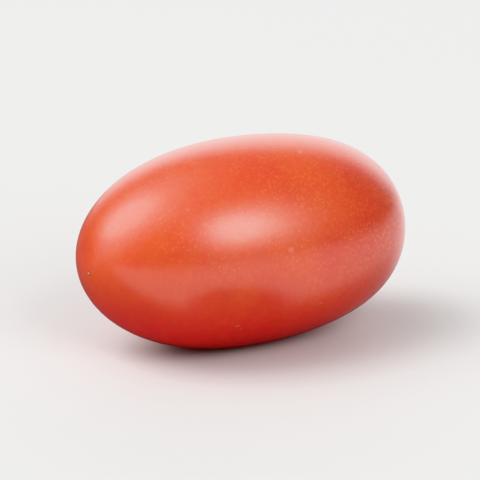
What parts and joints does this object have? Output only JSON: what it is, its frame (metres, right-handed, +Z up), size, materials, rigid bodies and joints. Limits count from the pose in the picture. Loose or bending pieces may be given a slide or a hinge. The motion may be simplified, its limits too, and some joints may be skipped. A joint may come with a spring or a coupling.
{
  "type": "plum tomato",
  "caption": "Whole ripe baby plum tomato without its calyx, lying on its side on a small flat resting spot.",
  "frame": {"origin": "under the middle of the fruit, on the surface it rests on", "axes": "+X along the fruit from the blossom tip to the stem scar, +Z up"},
  "size_m": [0.0438, 0.026, 0.0257],
  "materials": {
    "tomato_skin": "waxy satin skin"
  },
  "bodies": {
    "root": {"tomato": "tomato_skin"}
  },
  "joints": []
}
